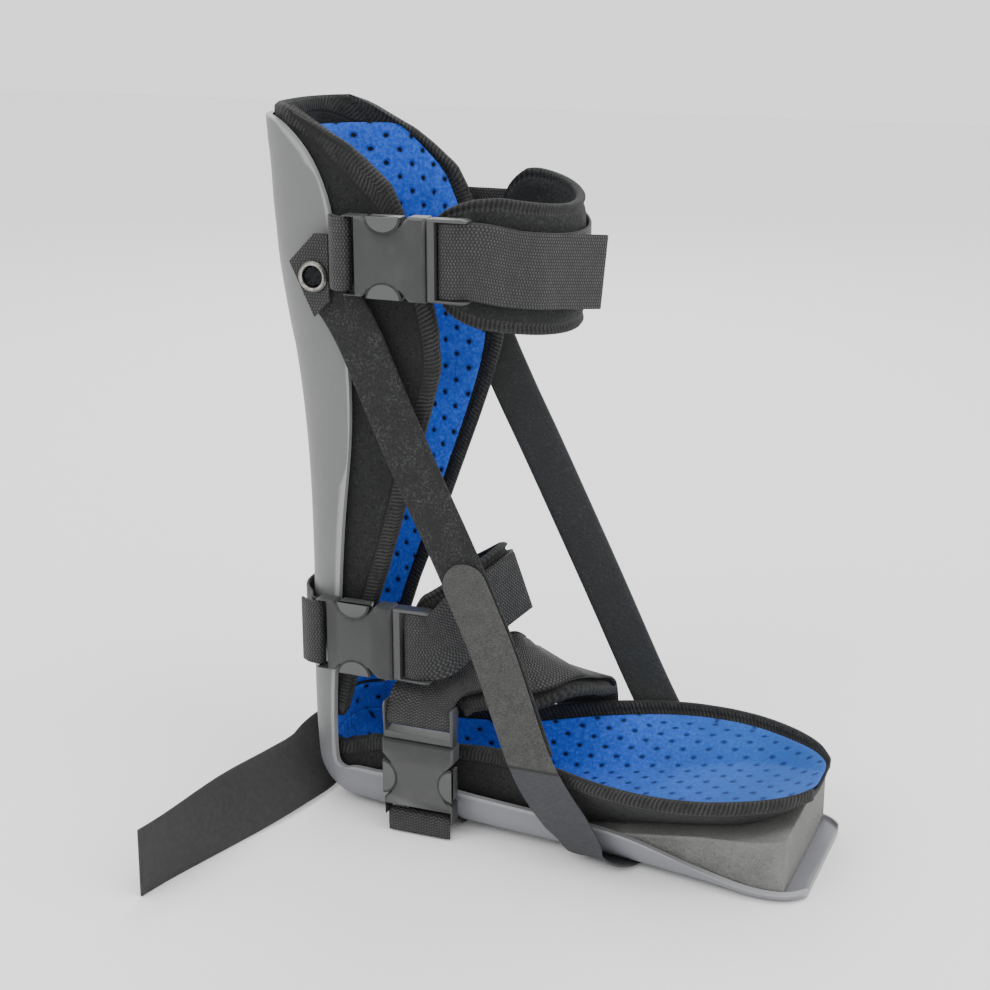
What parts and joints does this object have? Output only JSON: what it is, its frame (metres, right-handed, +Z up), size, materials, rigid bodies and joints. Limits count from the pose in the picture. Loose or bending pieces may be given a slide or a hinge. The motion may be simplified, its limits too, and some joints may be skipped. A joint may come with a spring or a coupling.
{
  "type": "ankle-foot night splint boot",
  "caption": "Open L-shaped ankle-foot splint boot with padded liner, buckled straps, side tension straps and a foam wedge under the toes.",
  "frame": {"origin": "on the floor under the heel, in the middle of the flat part of the sole", "axes": "+Z up along the calf, +X from the heel towards the toes, the buckles are on the -Y side"},
  "size_m": [0.319, 0.2342, 0.3918],
  "materials": {
    "shell_plastic": "satin moulded plastic, finely grained",
    "liner_cloth": "brushed black cloth over foam, bound edge",
    "lining_cloth": "blue perforated lining",
    "wedge_foam": "dark grey closed-cell foam with fine light specks",
    "pad_cloth": "soft black pile",
    "webbing": "dark woven webbing with ribs",
    "buckle_plastic": "black moulded plastic",
    "eyelet_metal": "dull nickelled eyelet",
    "loop_cloth": "soft black loop tape",
    "hook_cloth": "mottled dark hook tape"
  },
  "bodies": {
    "root": {"shell": "shell_plastic", "liner_calf": "liner_cloth", "lining_calf": "lining_cloth", "liner_foot": "liner_cloth", "lining_foot": "lining_cloth", "foam_wedge": "wedge_foam", "upper_pad": "pad_cloth", "upper_webbing": "webbing", "upper_buckle": "buckle_plastic", "upper_tongue": "buckle_plastic", "upper_anchor": "webbing", "upper_tab": "webbing", "eyelet": "eyelet_metal", "mid_pad": "pad_cloth", "mid_webbing": "webbing", "mid_buckle": "buckle_plastic", "mid_tongue": "buckle_plastic", "mid_anchor": "webbing", "lower_pad": "pad_cloth", "lower_webbing": "webbing", "lower_buckle": "buckle_plastic", "lower_tongue": "buckle_plastic", "lower_anchor": "webbing", "near_tension_strap": "loop_cloth", "near_hook_strap": "hook_cloth", "far_tension_strap": "loop_cloth", "rear_strap": "webbing"}
  },
  "joints": []
}
